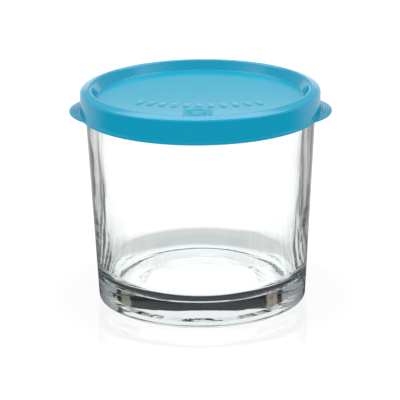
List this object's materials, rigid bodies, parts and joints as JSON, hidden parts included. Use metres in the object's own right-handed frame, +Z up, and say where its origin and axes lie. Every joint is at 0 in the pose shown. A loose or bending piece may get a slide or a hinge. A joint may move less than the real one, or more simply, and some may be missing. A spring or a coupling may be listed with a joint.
{
  "type": "glass food storage jar with lid",
  "caption": "Round clear glass food jar with thick walls and base, closed by a push-on turquoise plastic lid with two lifting tabs.",
  "frame": {"origin": "middle of the jar's foot, on the surface it stands on", "axes": "+Z up through the lid, +X through one lifting tab of the lid, -Y towards the marks on the lid's panel"},
  "size_m": [0.1144, 0.1054, 0.0954],
  "materials": {
    "clear_glass": "clear colourless pressed glass, polished",
    "turquoise_plastic": "turquoise polyethylene, satin, slightly translucent where thin"
  },
  "bodies": {
    "root": {"glass_jar": "clear_glass", "lid": "turquoise_plastic"}
  },
  "joints": []
}
